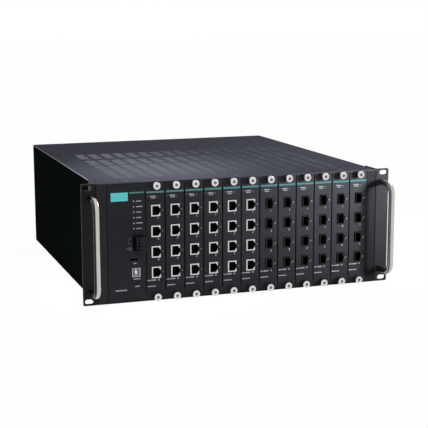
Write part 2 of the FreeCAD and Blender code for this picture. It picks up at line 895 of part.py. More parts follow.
def module_board(index):
    x0 = module_left(index) + board_offset
    x1 = x0 + board_thickness
    board = box(x0, x1, panel_back_y + 1, board_back_y, board_low_z, board_high_z)
    parts = []
    for z in port_heights():
        if index < copper_count:
            parts.append(copper_jack(index, z))
            rear = front_y - port_proud + jack_depth
        else:
            parts.append(fibre_cage(index, z))
            rear = front_y - cage_port_proud + cage_port_depth
        parts.append(port_light(index, z))
        parts.append(box(x1 - 0.1, x1 + board_part_height * 2, rear + 5,
                         rear + 5 + transformer_size, z - transformer_size / 2,
                         z + transformer_size / 2))
    chip_y = board_back_y - 4 * transformer_size
    parts.append(box(x1 - 0.1, x1 + board_part_height, chip_y, chip_y + 2 * transformer_size,
                     -transformer_size, transformer_size))
    parts.append(box(x1 - 0.1, x1 + plug_width, board_back_y - plug_overlap,
                     board_back_y + plug_reach, -plug_height / 2, plug_height / 2))
    return board.fuse(parts).removeSplitter()


# ================================================================ backplane
def backplane_header(index):
    x0 = jack_left(index) - header_gap
    x1 = x0 + plug_width + 2 * header_gap
    half = plug_height / 2 + header_gap
    y0 = backplane_y - header_depth
    block = box(x0 - header_wall, x1 + header_wall, y0, backplane_y + 0.1, -half - header_wall,
                half + header_wall)
    pocket = box(x0, x1, y0 - 1, backplane_y - header_floor, -half, half)
    return block.cut(pocket)


def backplane():
    board = box(bay_left_x, bay_right_x, backplane_y, backplane_back_y, backplane_low_z,
                backplane_high_z)
    headers = [backplane_header(index) for index in range(module_count)]
    board = board.fuse(headers).removeSplitter()
    return cut_screw_holes(board, backplane_screw_places())


# ================================================================ system panel
def system_x(inset):
    return modules_left_x - inset


def status_heights():
    middle = (status_count - 1) / 2
    return [status_centre_z + (middle - row) * status_pitch for row in range(status_count)]


def stud_places():
    half_z = (board_high_z - board_low_z) / 2 - stud_inset_z
    middle_z = (board_high_z + board_low_z) / 2
    places = []
    for x in (bay_left_x + stud_inset_x, divider_x - stud_inset_x):
        for z in (middle_z - half_z, middle_z + half_z):
            places.append((x, z))
    return places


def relay_cut_box(margin, y0, y1):
    half_x = relay_neck_width / 2 + margin
    half_z = relay_height / 2 + margin
    x = system_x(relay_inset_x)
    return box(x - half_x, x + half_x, y0, y1, relay_centre_z - half_z, relay_centre_z + half_z)


def connector_box(inset_x, centre_z, width, height, margin, y0, y1):
    x = system_x(inset_x)
    half_x = width / 2 + margin
    half_z = height / 2 + margin
    return box(x - half_x, x + half_x, y0, y1, centre_z - half_z, centre_z + half_z)


def system_panel():
    x0 = bay_left_x + panel_gap / 2
    x1 = modules_left_x - panel_gap / 2
    panel = panel_blank(x0, x1)
    studs = [rod_y(x, z, panel_back_y - 0.5, system_board_y, stud_radius)
             for x, z in stud_places()]
    panel = panel.fuse(studs).removeSplitter()
    through = (front_y - 1, panel_back_y + 1)
    cuts = [rod_y(system_x(status_inset_x), z, through[0], through[1],
                  status_radius + port_cut_gap / 2) for z in status_heights()]
    cuts.append(relay_cut_box(relay_gap + relay_wall + port_cut_gap, through[0], through[1]))
    cuts.append(connector_box(storage_inset_x, storage_centre_z, storage_width, storage_height,
                              port_cut_gap, through[0], through[1]))
    cuts.append(connector_box(console_inset_x, console_centre_z, console_width, console_height,
                              port_cut_gap, through[0], through[1]))
    cuts.append(rod_y(system_x(reset_inset_x), reset_centre_z, through[0], through[1],
                      reset_hole_radius))
    return cut_screw_holes(panel.cut(cuts), panel_screw_places())


def relay_pin_heights():
    middle = (relay_ways - 1) / 2
    return [relay_centre_z + (row - middle) * relay_way_pitch for row in range(relay_ways)]


def relay_header():
    floor_y = front_y + relay_plug_depth + relay_gap
    shell = relay_cut_box(relay_gap + relay_wall, front_y - connector_proud, system_board_y + 0.1)
    pocket = relay_cut_box(relay_gap, front_y - 2, floor_y)
    x = system_x(relay_inset_x)
    pins = [rod_y(x, z, floor_y - relay_pin_length, floor_y + 0.5, relay_pin_radius)
            for z in relay_pin_heights()]
    return shell.cut(pocket).fuse(pins)


def reset_switch():
    x = system_x(reset_inset_x)
    half = reset_switch_size / 2
    body = box(x - half, x + half, system_board_y - reset_switch_depth, system_board_y + 0.1,
               reset_centre_z - half, reset_centre_z + half)
    bore = rod_y(x, reset_centre_z, system_board_y - reset_switch_depth - 1, system_board_y - 0.6,
                 reset_foot_radius + turn_gap)
    return body.cut(bore)


def system_board():
    margin = system_board_margin
    board = box(bay_left_x + margin / 2, divider_x - margin / 2, system_board_y,
                system_board_y + board_thickness, board_low_z + margin, board_high_z - margin)
    link = box(system_centre_x, system_centre_x + board_thickness, system_board_y, backplane_y,
               -plug_height / 2, plug_height / 2)
    return board.fuse([link, relay_header(), reset_switch()]).removeSplitter()


def light_pipes():
    x = system_x(status_inset_x)
    pipes = [rod_y(x, z, front_y - 0.2, system_board_y - 0.3, status_radius)
             for z in status_heights()]
    heights = status_heights()
    bar_y = (panel_back_y + system_board_y) / 2
    bar = box(x - status_radius, x + status_radius, bar_y, bar_y + 2,
              heights[-1] - 2, heights[0] + 2)
    return bar.fuse(pipes).removeSplitter()


def relay_plug():
    x = system_x(relay_inset_x)
    left = x - relay_neck_width / 2
    face_y = front_y - relay_plug_reach
    body = box(left, left + relay_body_width, face_y, front_y - connector_proud - turn_gap,
               relay_centre_z - relay_height / 2, relay_centre_z + relay_height / 2)
    neck = relay_cut_box(0, front_y - relay_plug_depth, front_y + relay_plug_depth)
    plug = body.fuse(neck).removeSplitter()
    plug = fillet_where(plug, 0.5, lambda edge: near(edge.CenterOfMass.y, face_y))
    cuts = []
    wire_x = left + relay_body_width / 4
    screw_x = left + relay_body_width * 3 / 4
    half = relay_wire_hole / 2
    fittings = []
    for z in relay_pin_heights():
        cuts.append(box(wire_x - half, wire_x + half, face_y - 1, face_y + relay_wire_depth,
                        z - half, z + half))
        cuts.append(rod_y(screw_x, z, face_y - 1, face_y + relay_screw_depth, relay_screw_radius))
        cuts.append(rod_y(x, z, front_y - 1, front_y + relay_plug_depth + 1,
                          relay_pin_radius + relay_pin_gap))
        screw = rod_y(screw_x, z, face_y + relay_screw_depth / 2, face_y + relay_screw_depth + 1,
                      relay_screw_radius + 0.1)
        blade = box(screw_x - relay_screw_radius - 0.2, screw_x + relay_screw_radius + 0.2,
                    face_y, face_y + relay_screw_depth, z - 0.25, z + 0.25)
        fittings.append(screw.cut(blade))
    return plug.cut(cuts).fuse(fittings).removeSplitter()


def connector_shell(inset_x, centre_z, width, height):
    face_y = front_y - connector_proud
    shell = connector_box(inset_x, centre_z, width, height, 0, face_y, system_board_y)
    cavity = connector_box(inset_x, centre_z, width, height, -connector_wall, face_y - 1,
                           system_board_y - 2)
    return shell.cut(cavity)


def usb_storage_port():
    shell = connector_shell(storage_inset_x, storage_centre_z, storage_width, storage_height)
    x = system_x(storage_inset_x)
    half = storage_width / 2 - connector_wall - storage_tongue_gap
    low = storage_centre_z + storage_tongue_lift
    tongue = box(x - half, x + half, front_y + 2, system_board_y - 1, low,
                 low + storage_tongue_height)
    return shell.fuse(tongue).removeSplitter()


def usb_console_port():
    shell = connector_shell(console_inset_x, console_centre_z, console_width, console_height)
    x = system_x(console_inset_x)
    half_x = console_tongue_width / 2
    half_z = console_tongue_height / 2
    tongue = box(x - half_x, x + half_x, front_y + 1, system_board_y - 1,
                 console_centre_z - half_z, console_centre_z + half_z)
    return shell.fuse(tongue).removeSplitter()


def reset_button():
    x = system_x(reset_inset_x)
    foot_back = system_board_y - 0.6 - reset_travel - turn_gap
    foot = rod_y(x, reset_centre_z, foot_back - reset_foot_length, foot_back, reset_foot_radius)
    stem = rod_y(x, reset_centre_z, front_y + reset_depth, foot_back - 0.5, reset_stem_radius)
    return foot.fuse(stem).removeSplitter()


# ================================================================ switch board
def switch_board():
    half = switch_board_width / 2
    board = box(-half, half, switch_board_y, switch_board_y + switch_board_depth, switch_board_z,
                switch_board_z + switch_board_thickness)
    middle_y = switch_board_y + switch_board_depth / 2
    chip = box(-chip_size / 2, chip_size / 2, middle_y - chip_size / 2, middle_y + chip_size / 2,
               switch_board_z, switch_board_z + switch_board_thickness + chip_height)
    link = box(-half + post_inset * 2, half - post_inset * 2, backplane_back_y,
               switch_board_y + 4, switch_board_z - 3, switch_board_z + 6)
    sockets = [power_socket(side) for side in (-1, 1)]
    return board.fuse([chip, link] + sockets).removeSplitter()


def power_plug_box(side, margin, y0, y1):
    half_x = power_plug_width / 2 + margin
    half_z = power_plug_height / 2 + margin
    middle_x = side * (switch_board_width / 2 - power_plug_width)
    middle_z = switch_board_z + switch_board_thickness / 2
    return box(middle_x - half_x, middle_x + half_x, y0, y1, middle_z - half_z,
               middle_z + half_z)


def power_socket(side):
    edge_y = switch_board_y + switch_board_depth
    mouth_y = power_front_y - power_gap
    block = power_plug_box(side, header_gap + power_socket_wall, edge_y - 1, mouth_y)
    pocket = power_plug_box(side, header_gap, power_front_y - power_plug_reach - power_gap,
                            mouth_y + 1)
    return block.cut(pocket)


def heat_sink():
    low = switch_board_z + switch_board_thickness + chip_height
    middle_y = switch_board_y + switch_board_depth / 2
    half = sink_width / 2
    y0 = middle_y - sink_depth / 2
    sink = box(-half, half, y0, y0 + sink_depth, low, low + sink_base)
    step = (sink_width - sink_fin_thickness) / (sink_fins - 1)
    fins = [box(-half + index * step, -half + index * step + sink_fin_thickness, y0,
                y0 + sink_depth, low, low + sink_base + sink_fin_height)
            for index in range(sink_fins)]
    return sink.fuse(fins).removeSplitter()


# ================================================================ power modules
def power_centre_z():
    return power_low_z + power_height / 2


def power_case(side):
    x = side * power_offset_x
    half = power_width / 2
    low = power_low_z
    high = power_low_z + power_height
    shell = box(x - half, x + half, power_front_y, rear_y + power_flange_sheet, low, high)
    room = box(x - half + power_sheet, x + half - power_sheet, power_front_y + power_sheet, rear_y,
               low + power_sheet, high - power_sheet)
    flange = box(x - half - power_flange, x + half + power_flange, rear_y,
                 rear_y + power_flange_sheet, low - power_flange, high + power_flange)
    tab_x = x + power_tab_offset
    tab = box(tab_x - power_sheet, tab_x + power_sheet, rear_y, rear_y + power_tab_reach,
              power_centre_z() - power_tab_height, power_centre_z() + power_tab_height)
    plug = power_plug_box(side, 0, power_front_y - power_plug_reach, power_front_y + 1)
    case = shell.cut(room).fuse([flange, tab, plug]).removeSplitter()
    finger = rod(Vector(tab_x - 5, rear_y + power_tab_reach / 2 + 1, power_centre_z()),
                 Vector(tab_x + 5, rear_y + power_tab_reach / 2 + 1, power_centre_z()),
                 power_tab_hole_radius)
    inlet_x = x + inlet_offset_x
    window = box(inlet_x - inlet_width / 2 - port_cut_gap, inlet_x + inlet_width / 2 + port_cut_gap,
                 rear_y - 1, rear_y + power_flange_sheet + 1,
                 power_centre_z() - inlet_height / 2 - port_cut_gap,
                 power_centre_z() + inlet_height / 2 + port_cut_gap)
    return case.cut([finger, window])


def inlet_outline(x, z):
    half_x = inlet_cavity_width / 2
    half_z = inlet_cavity_height / 2
    corner = inlet_chamfer
    return [(x - half_x, z - half_z), (x + half_x, z - half_z), (x + half_x, z + half_z - corner),
            (x + half_x - corner, z + half_z), (x - half_x + corner, z + half_z),
            (x - half_x, z + half_z - corner)]


def power_inlet(side):
    x = side * power_offset_x + inlet_offset_x
    z = power_centre_z()
    outer_y = rear_y + power_flange_sheet
    back_y = outer_y - inlet_depth
    mouth_y = outer_y + inlet_flange_sheet
    body = box(x - inlet_width / 2, x + inlet_width / 2, back_y, outer_y + 0.1,
               z - inlet_height / 2, z + inlet_height / 2)
    flange = box(x - inlet_flange_width / 2, x + inlet_flange_width / 2, outer_y, mouth_y,
                 z - inlet_flange_height / 2, z + inlet_flange_height / 2)
    cavity = prism_y(inlet_outline(x, z), mouth_y - inlet_cavity_depth, mouth_y + 1)
    inlet = body.fuse(flange).removeSplitter().cut(cavity)
    floor_y = mouth_y - inlet_cavity_depth
    pins = []
    for pin_x, pin_z in ((-inlet_pin_spacing / 2, -1.5), (0, 2.5), (inlet_pin_spacing / 2, -1.5)):
        pins.append(box(x + pin_x - inlet_pin_width / 2, x + pin_x + inlet_pin_width / 2,
                        floor_y - 0.5, floor_y + inlet_pin_length,
                        z + pin_z - inlet_pin_height / 2, z + pin_z + inlet_pin_height / 2))
    return inlet.fuse(pins).removeSplitter()


# ================================================================ write every node
def export(name, shape):
    shape.exportStep("parts/" + name + ".step")


def main():
    os.makedirs("parts", exist_ok=True)
    export("chassis_tray", chassis_tray())
    export("top_cover", top_cover())
    export("rear_panel", rear_panel())
    export("card_cage", card_cage())
    export("backplane", backplane())
    export("switch_board", switch_board())
    export("heat_sink", heat_sink())
    export("case_screws", case_screws())
    export("handle_screws", handle_screws())
    for name, side in (("left", -1), ("right", 1)):
        export(name + "_rack_ear", rack_ear(side))
        export(name + "_handle", handle(side))
        export(name + "_power_case", power_case(side))
        export(name + "_power_inlet", power_inlet(side))
    export("system_panel", system_panel())
    export("system_board", system_board())
    export("status_light_pipes", light_pipes())
    export("relay_plug", relay_plug())
    export("usb_storage_port", usb_storage_port())
    export("usb_console_port", usb_console_port())
    export("reset_button", reset_button())
    for index in range(module_count):
        prefix = "module_%02d_" % (index + 1)
        export(prefix + "faceplate", faceplate(index))
        export(prefix + "board", module_board(index))
        export(prefix + "screws", module_screws(index))


main()
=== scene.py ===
import json
import math

import bmesh
import bpy
from mathutils import Matrix, Vector


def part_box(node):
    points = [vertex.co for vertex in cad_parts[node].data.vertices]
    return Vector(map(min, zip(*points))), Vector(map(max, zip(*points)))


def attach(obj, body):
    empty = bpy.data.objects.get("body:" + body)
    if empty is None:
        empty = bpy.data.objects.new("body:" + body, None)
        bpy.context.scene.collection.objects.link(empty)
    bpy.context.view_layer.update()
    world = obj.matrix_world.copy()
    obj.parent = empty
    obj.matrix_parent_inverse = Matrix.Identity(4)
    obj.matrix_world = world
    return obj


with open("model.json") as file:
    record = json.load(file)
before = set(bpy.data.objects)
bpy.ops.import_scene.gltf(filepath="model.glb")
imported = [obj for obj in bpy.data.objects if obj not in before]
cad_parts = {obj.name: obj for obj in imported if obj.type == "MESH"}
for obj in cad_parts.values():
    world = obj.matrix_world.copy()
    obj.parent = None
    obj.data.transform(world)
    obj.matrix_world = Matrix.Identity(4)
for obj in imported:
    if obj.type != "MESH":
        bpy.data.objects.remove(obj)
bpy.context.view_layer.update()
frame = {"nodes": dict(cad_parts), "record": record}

nodes = frame["nodes"]
record = frame["record"]
MM = 0.001

# ---------------------------------------------------------------- places read from the frame
MODULES = 12
COPPER = 6
PORTS = 4
panel_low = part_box("system_panel")[0]
floor_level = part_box("chassis_tray")[0].z
cover_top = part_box("top_cover")[1].z
front_y = panel_low.y
plates = [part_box("module_%02d_faceplate" % (index + 1)) for index in range(MODULES)]
module_pitch = (plates[-1][0].x - plates[0][0].x) / (MODULES - 1)
plate_gap = module_pitch - (plates[0][1].x - plates[0][0].x)
modules_left = plates[0][0].x - plate_gap / 2
sockets = {hole["name"]: hole["box_m"] for hole in record["physics"]["openings"]}
socket_rows = [sockets["module_01_rj45_%d" % row] for row in range(1, PORTS + 1)]
port_heights = [(low[2] + high[2]) / 2 for low, high in socket_rows]
port_pitch = port_heights[0] - port_heights[1]
screw_low, screw_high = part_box("module_01_screws")
screw_radius = (screw_high.x - screw_low.x) / 2
screw_height = screw_high.z - screw_radius
board_low, board_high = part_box("module_01_board")
status_low, status_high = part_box("status_light_pipes")

# ---------------------------------------------------------------- sizes that several looks share
LAMINATE = 1.6 * MM
PIPE_RADIUS = 0.9 * MM
LENS_LIFT = 0.1 * MM
STATUS_ROWS = 6
STATUS_PITCH = 8.0 * MM
COAT_CLOUD = 38 * MM
COAT_GRAIN = 0.55 * MM
COAT_BUMP = 0.018 * MM
FACE_SKIN = 1.0 * MM
INK = 0.06 * MM
INK_SINK = 0.04 * MM

# Places across a module, from its left edge.
jack_x = board_low.x + LAMINATE - modules_left
light_x = board_high.x - PIPE_RADIUS - modules_left

status_x = (status_low.x + status_high.x) / 2
status_top = (status_low.z + status_high.z) / 2 + (STATUS_ROWS - 1) / 2 * STATUS_PITCH
status_heights = [status_top - row * STATUS_PITCH for row in range(STATUS_ROWS)]

# The inks of a print piece, in the order of its finishes. The last one is white on the
# modules and the label's own on the system panel.
TEAL, GREY, DIM, BRIGHT = range(4)

# Bars of print in place of words, in millimetres: start from the left edge, length, height
# of the middle above the middle of the rack slots, thickness, ink. The module's own number
# stands twice: middle from the left edge, height of the middle, height of the digits.
MODULE_MARKS = {
    "edge note": (1.4, 4.4, 66.0, 1.2, DIM),
    "title": (6.8, 8.4, 66.0, 1.6, GREY),
    "subtitle": (8.2, 6.8, 63.4, 1.4, GREY),
    "slot note": (1.5, 4.4, -58.2, 1.4, GREY),
    "slot caption": (6.7, 7.9, -58.1, 1.6, GREY),
    "foot line": (1.5, 12.5, -67.2, 1.4, GREY),
}
MODULE_NUMBERS = {
    "upper": (18.2, 64.7, 2.3),
    "lower": (18.0, -58.0, 2.2),
}
PANEL_MARKS = {
    "label": (5.7, 25.1, 67.35, 12.5, BRIGHT),
    "teal line": (32.8, 21.6, 72.6, 2.0, TEAL),
    "storage caption": (37.7, 4.7, -31.0, 1.4, GREY),
    "console caption": (37.3, 10.6, -54.2, 1.4, GREY),
    "reset caption": (39.6, 7.1, -65.4, 1.4, GREY),
    "foot line": (10.2, 17.5, -69.9, 1.6, GREY),
    "relay stem": (30.6, 1.3, 2.0, 9.0, DIM),
    "relay upper arm": (32.0, 4.0, 5.85, 1.3, DIM),
    "relay lower arm": (32.0, 4.0, -1.85, 1.3, DIM),
    "relay box": (30.8, 5.2, -9.0, 5.8, DIM),
    "relay lead": (27.2, 3.5, -8.6, 2.0, DIM),
}


# ================================================================ materials
class Value:
    """One socket of a finish's node tree. Operators on it add Math nodes."""

    def __init__(self, finish, socket):
        self.finish = finish
        self.socket = socket

    def math(self, operation, first, second=None):
        sockets = {0: first} if second is None else {0: first, 1: second}
        return self.finish.add("ShaderNodeMath", {"operation": operation}, sockets)

    def __add__(self, other):
        return self.math("ADD", self, other)

    def __radd__(self, other):
        return self.math("ADD", other, self)

    def __sub__(self, other):
        return self.math("SUBTRACT", self, other)

    def __rsub__(self, other):
        return self.math("SUBTRACT", other, self)

    def __mul__(self, other):
        return self.math("MULTIPLY", self, other)

    def __rmul__(self, other):
        return self.math("MULTIPLY", other, self)

    def __truediv__(self, other):
        return self.math("DIVIDE", self, other)

    def __gt__(self, other):
        return self.math("GREATER_THAN", self, other)

    def __lt__(self, other):
        return self.math("LESS_THAN", self, other)

    def __abs__(self):
        return self.math("ABSOLUTE", self)

    def power(self, exponent):
        return self.math("POWER", self, exponent)

    def maximum(self, other):
        return self.math("MAXIMUM", self, other)

    def clamp(self):
        """Held between 0 and 1."""
        return self.math("MINIMUM", self.maximum(0.0), 1.0)

    def wrap(self, period):
        """Folds a coordinate to the range 0 to period."""
        return self.math("FLOORED_MODULO", self, period)

    def within(self, low, high):
        """1 between low and high, else 0."""
        return (self > low) * (self < high)


class Finish:
    """One material's node tree."""

    def __init__(self, name, tree=None):
        if tree is None:
            self.material = bpy.data.materials.new(name)
            self.material.use_nodes = True
            tree = self.material.node_tree
        self.tree = tree
        self.tree.nodes.clear()

    def add(self, kind, settings=None, sockets=None, output=0):
        node = self.tree.nodes.new(kind)
        for key, setting in (settings or {}).items():
            setattr(node, key, setting)
        for key, value in (sockets or {}).items():
            if isinstance(value, Value):
                self.tree.links.new(value.socket, node.inputs[key])
            else:
                node.inputs[key].default_value = value
        if not node.outputs:
            return None
        return Value(self, node.outputs[output])

    def place(self):
        """The point on the part at rest, in metres."""
        return self.add("ShaderNodeTexCoord", output="Object")

    def axis(self, letter):
        return self.add("ShaderNodeSeparateXYZ", sockets={0: self.place()}, output=letter)

    def noise(self, size, detail=2.0, stretch=(1.0, 1.0, 1.0)):
        """Noise whose grains are about size metres across, longer along the axes stretched."""
        scale = tuple(1.0 / (size * amount) for amount in stretch)
        spread = self.add("ShaderNodeVectorMath", {"operation": "MULTIPLY"},
                          {0: self.place(), 1: scale})
        return self.add("ShaderNodeTexNoise", {}, {"Vector": spread, "Scale": 1.0,
                                                   "Detail": detail, "Roughness": 0.55})

    def mix(self, factor, first, second):
        """second over first, by factor."""
        return self.add("ShaderNodeMix", {"data_type": "RGBA"},
                        {0: factor, 6: first, 7: second}, output=2)

    def mottle(self, noise, colour, least, most):
        """One colour whose brightness wanders with the noise, from least to most."""
        return self.mix(noise, shade(colour, least), shade(colour, most))

    def bump(self, height, depth):
        return self.add("ShaderNodeBump", {}, {"Height": height, "Distance": depth,
                                               "Strength": 1.0})

    def surface(self, **sockets):
        named = {key.replace("_", " "): value for key, value in sockets.items()}
        shader = self.add("ShaderNodeBsdfPrincipled", {}, named)
        self.add("ShaderNodeOutputMaterial", {}, {"Surface": shader})
        return self.material


def rgb(red, green, blue):
    """A colour from its 0 to 255 screen values."""
    def linear(level):
        share = level / 255.0
        return share / 12.92 if share <= 0.04045 else ((share + 0.055) / 1.055) ** 2.4
    return (linear(red), linear(green), linear(blue), 1.0)


def shade(colour, factor):
    return tuple(level * factor for level in colour[:3]) + (1.0,)


def powder_coat(name, colour, roughness, specular, grain=COAT_GRAIN):
    """Sprayed and baked paint: a fine even orange peel and slightly cloudy gloss."""
    finish = Finish(name)
    cloud = finish.noise(COAT_CLOUD, 3.0)
    grit = finish.noise(grain, 1.0)
    tone = finish.mottle(cloud, colour, 0.86, 1.14)
    return finish.surface(Base_Color=tone, Roughness=roughness - 0.06 + 0.12 * cloud,
                          Specular_IOR_Level=specular, Normal=finish.bump(grit, COAT_BUMP))


def case_coat(name, colour, front_colour):
    """The tray's paint: dead matt on the sides, paler on the front strips, with painted shade
    darkening the strips right of the middle.
    """
    right_painted_shade = 0.4
    finish = Finish(name)
    cloud = finish.noise(COAT_CLOUD, 3.0)
    grit = finish.noise(COAT_GRAIN, 1.0)
    front = finish.axis("Y") < front_y + FACE_SKIN
    right = finish.axis("X") > 0.0
    # Painted shade: the front strips right of the middle are darkened to 0.4 of their colour.
    strip = finish.mix(right, front_colour, shade(front_colour, right_painted_shade))
    tone = finish.mix(front, colour, strip)
    tone = finish.mix(cloud * 0.25, tone, shade(colour, 0.7))
    return finish.surface(Base_Color=tone, Roughness=0.60 + 0.08 * cloud,
                          Specular_IOR_Level=0.0, Normal=finish.bump(grit, COAT_BUMP))


def cover_coat(name, colour, glint_colour, plain_edge_colour):
    """The cover's paint. The punched edges of the vents carry a painted highlight: bright bare
    metal towards the left front, fading to a darker edge colour to the right and rear.
    """
    glint_right = 90 * MM
    glint_width = 260 * MM
    glint_front = 90 * MM
    glint_depth = 200 * MM
    glint_rear_loss = 0.6
    paint_depth = 0.05 * MM
    finish = Finish(name)
    cloud = finish.noise(COAT_CLOUD, 3.0)
    grit = finish.noise(COAT_GRAIN, 1.0)
    # Painted highlight on the vents' inner edges, strongest at the left front and weaker to the
    # right and towards the rear.
    across = ((glint_right - finish.axis("X")) / glint_width).clamp().power(2.0)
    along = 1 - glint_rear_loss * ((finish.axis("Y") - glint_front) / glint_depth).clamp()
    edge_glint = across * along
    edge = finish.mix(edge_glint, plain_edge_colour, glint_colour)
    inside = (finish.axis("Z") < cover_top - paint_depth) * (finish.axis("Y") > front_y + FACE_SKIN)
    painted = finish.mottle(cloud, colour, 0.9, 1.1)
    return finish.surface(Base_Color=finish.mix(inside, painted, edge), Metallic=inside * edge_glint,
                          Roughness=0.50 + 0.10 * cloud, Specular_IOR_Level=0.0,
                          Normal=finish.bump(grit, COAT_BUMP))


def polished_bar(name, node, colour, reflection_colour, rim_share):
    """Drawn steel bar, polished along its length, with a painted dark reflection down its left
    side.

    rim_share is how much of the polish comes back at the painted reflection's outer rim."""
    reflection_start = -0.38
    reflection_blur = 0.16
    rim_start = -0.80
    rim_blur = 0.10
    low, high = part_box(node)
    radius = (high.x - low.x) / 2
    finish = Finish(name)
    streak = finish.noise(0.35 * MM, 2.0, stretch=(1.0, 1.0, 60.0))
    tone = finish.mottle(streak, colour, 0.93, 1.04)
    across = (finish.axis("X") - (low.x + high.x) / 2) / radius
    # Painted reflection: a dark band down the left side of the bar, fading in from its middle.
    painted_dark = ((reflection_start - across) / reflection_blur).clamp()
    rim = ((rim_start - across) / rim_blur).clamp() * rim_share
    tone = finish.mix(painted_dark * (1 - rim), tone, reflection_colour)
    return finish.surface(Base_Color=tone, Metallic=1.0, Roughness=0.17 + 0.10 * streak,
                          Normal=finish.bump(streak, 0.004 * MM))


def zinc_sheet(name, colour):
    """Plain zinc plated sheet with faint spangle."""
    finish = Finish(name)
    cloud = finish.noise(9 * MM, 2.0)
    tone = finish.mottle(cloud, colour, 0.82, 1.12)
    return finish.surface(Base_Color=tone, Metallic=1.0, Roughness=0.34 + 0.14 * cloud,
                          Normal=finish.bump(cloud, 0.01 * MM))


def moulding(name, colour, roughness=0.45, specular=0.12):
    """Moulded plastic with a fine spark texture."""
    finish = Finish(name)
    grit = finish.noise(0.3 * MM, 1.0)
    cloud = finish.noise(12 * MM, 2.0)
    tone = finish.mottle(cloud, colour, 0.9, 1.1)
    return finish.surface(Base_Color=tone, Roughness=roughness - 0.05 + 0.1 * cloud,
                          Specular_IOR_Level=specular, Normal=finish.bump(grit, 0.01 * MM))


def cage_sheet(name, colour, painted_shade_colour):
    """Zinc sheet whose front edges carry painted shade: near black, matt and not metallic."""
    shade_depth = 9 * MM
    finish = Finish(name)
    cloud = finish.noise(9 * MM, 2.0)
    # Painted shade on the front edges, seen down the gaps between the faceplates.
    front = finish.axis("Y") < front_y + shade_depth
    tone = finish.mottle(cloud, colour, 0.82, 1.12)
    return finish.surface(Base_Color=finish.mix(front, tone, painted_shade_colour), Metallic=1 - front,
                          Roughness=0.34 + 0.14 * cloud + 0.3 * front,
                          Normal=finish.bump(cloud, 0.01 * MM))


def usb_port(name, node, shell_colour, tongue_colour, tongue_half, metallic):
    """A tinned shell round a plastic tongue, whose half width and half height are given."""
    low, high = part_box(node)
    middle = (low + high) / 2
    finish = Finish(name)
    across = abs(finish.axis("X") - middle.x) < tongue_half[0]
    upright = abs(finish.axis("Z") - middle.z) < tongue_half[1]
    tongue = across * upright
    cloud = finish.noise(3 * MM, 2.0)
    shell = finish.mottle(cloud, shell_colour, 0.85, 1.1)
    plastic = finish.mottle(cloud, tongue_colour, 0.94, 1.04)
    return finish.surface(Base_Color=finish.mix(tongue, shell, plastic),
                          Metallic=metallic * (1 - tongue),
                          Roughness=0.30 + 0.1 * cloud + 0.15 * tongue,
                          Specular_IOR_Level=0.3)


def inlet_finish(name, node, body_colour, pin_colour):
    """A black inlet body round three nickel pins: two side by side and the earth above."""
    pin_spread = 7 * MM
    pin_drop = 1.5 * MM
    earth_rise = 2.5 * MM
    half_width = 1.1 * MM
    half_height = 2.1 * MM
    pin_root = 13.9 * MM
    pin_tip = 2.4 * MM
    low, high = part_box(node)
    middle = (low + high) / 2
    finish = Finish(name)
    x = finish.axis("X") - middle.x
    z = finish.axis("Z") - middle.z
    outer = (abs(abs(x) - pin_spread) < half_width) * (abs(z + pin_drop) < half_height)
    earth = (abs(x) < half_width) * (abs(z - earth_rise) < half_height)
    depth = finish.axis("Y").within(high.y - pin_root, high.y - pin_tip)
    pin = outer.maximum(earth) * depth
    cloud = finish.noise(6 * MM, 2.0)
    tone = finish.mottle(cloud, body_colour, 0.85, 1.15)
    return finish.surface(Base_Color=finish.mix(pin, tone, pin_colour), Metallic=pin,
                          Roughness=0.4 - 0.12 * pin + 0.08 * cloud, Specular_IOR_Level=0.15)


def terminal_block(name, face_colour, shaded_side_colour, shaded_screw_colour):
    """The relay plug: a matt wiring face, with painted shade darkening its sides and the metal
    screws down their holes.
    """
    face_depth = 0.6 * MM
    screw_front = 0.65 * MM
    screw_rear = 1.6 * MM
    hole_radius = 1.65 * MM
    low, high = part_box("relay_plug")
    holes_x = low.x * 0.25 + high.x * 0.75
    finish = Finish(name)
    cloud = finish.noise(4 * MM, 2.0)
    face = finish.axis("Y") < low.y + face_depth
    screw = finish.axis("Y").within(low.y + screw_front, low.y + screw_rear)
    screw = screw * (abs(finish.axis("X") - holes_x) < hole_radius)
    # Painted shade: the sides are coloured darker than the face, and the screws down their holes a
    # dark grey.
    tone = finish.mix(face, shaded_side_colour, face_colour)
    tone = finish.mix(screw, tone, shaded_screw_colour)
    tone = finish.mix(cloud * 0.3, tone, shade(shaded_side_colour, 0.6))
    return finish.surface(Base_Color=tone, Metallic=screw, Roughness=0.45 + 0.1 * cloud,
                          Specular_IOR_Level=0.06)


def print_ink(name, colour):
    """Screen print: a matt film with slightly uneven cover, darkened with painted shade towards the
    upper right.
    """
    painted_shade_left = -140 * MM
    painted_shade_width = 300 * MM
    painted_shade_low = -100 * MM
    painted_shade_height = 160 * MM
    # Strength of the painted shade at the upper right.
    depth = 1.8
    finish = Finish(name)
    cover = finish.noise(0.8 * MM, 2.0)
    tone = finish.mottle(cover, colour, 0.82, 1.1)
    across = ((finish.axis("X") - painted_shade_left) / painted_shade_width).clamp().power(1.3)
    upward = ((finish.axis("Z") - painted_shade_low) / painted_shade_height).clamp()
    # Painted shade: the print darkens towards the upper right, where the front light falls
    # strongest.
    tone = finish.mix(1 - (1 + depth * across * upward).power(-1.0), tone, rgb(0, 0, 0))
    return finish.surface(Base_Color=tone, Roughness=0.55, Specular_IOR_Level=0.3,
                          Normal=finish.bump(cover, 0.006 * MM))


